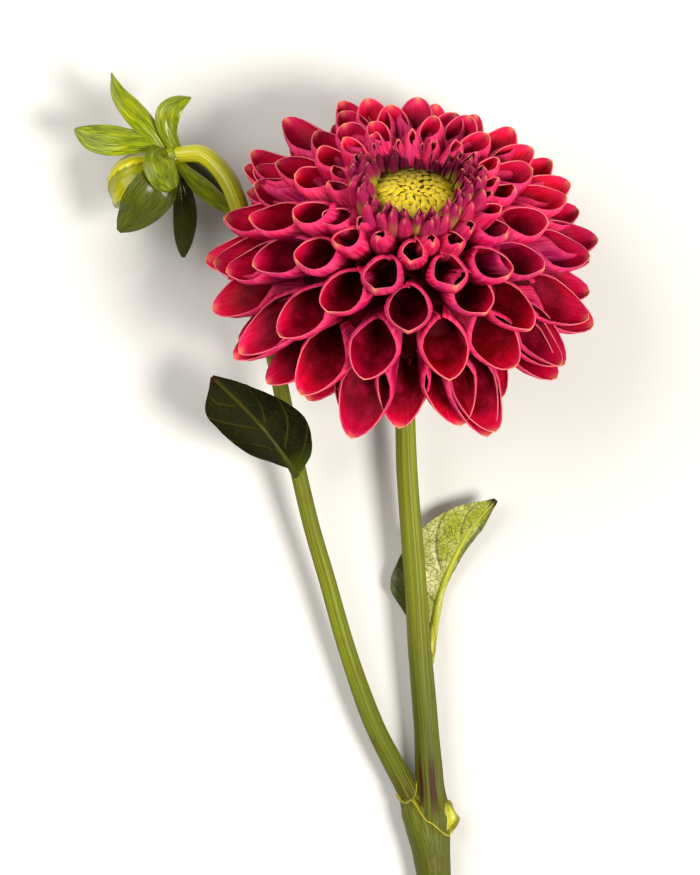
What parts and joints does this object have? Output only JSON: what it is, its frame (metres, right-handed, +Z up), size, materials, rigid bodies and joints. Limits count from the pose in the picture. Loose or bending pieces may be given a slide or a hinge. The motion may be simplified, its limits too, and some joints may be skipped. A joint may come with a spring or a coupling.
{
  "type": "cut dahlia flower",
  "caption": "Cut crimson ball-shaped dahlia lying on a surface: bloom of rolled petals on a forked stem, with a nodding green bud and small leaves",
  "frame": {"origin": "the middle of the underside of the whole part's bounding box, on the surface that it lies on", "axes": "+Z is up from the surface; +Y is the part's longest extent, from the cut end of the stem towards the bloom; +X is to the right as seen from above with the bloom at the far end, the bud being at -X"},
  "size_m": [0.1214, 0.1932, 0.0729],
  "materials": {
    "ray_petals": "soft satin crimson petal, deeper inside, paler magenta behind, cream-pink rim",
    "eye_florets": "matt yellow-green unopened florets",
    "calyx": "matt green bracts",
    "forked_stem": "satin olive-green ribbed stem with brownish streaks",
    "bud": "satin yellow-green overlapping scales",
    "bud_bracts": "glossy veined green",
    "left_leaf": "dark glossy veined leaf",
    "right_leaf": "pale glossy veined leaf"
  },
  "bodies": {
    "root": {"ray_petals": "ray_petals", "eye_florets": "eye_florets", "calyx": "calyx", "forked_stem": "forked_stem", "bud": "bud", "bud_bracts": "bud_bracts", "left_leaf": "left_leaf", "right_leaf": "right_leaf"}
  },
  "joints": []
}
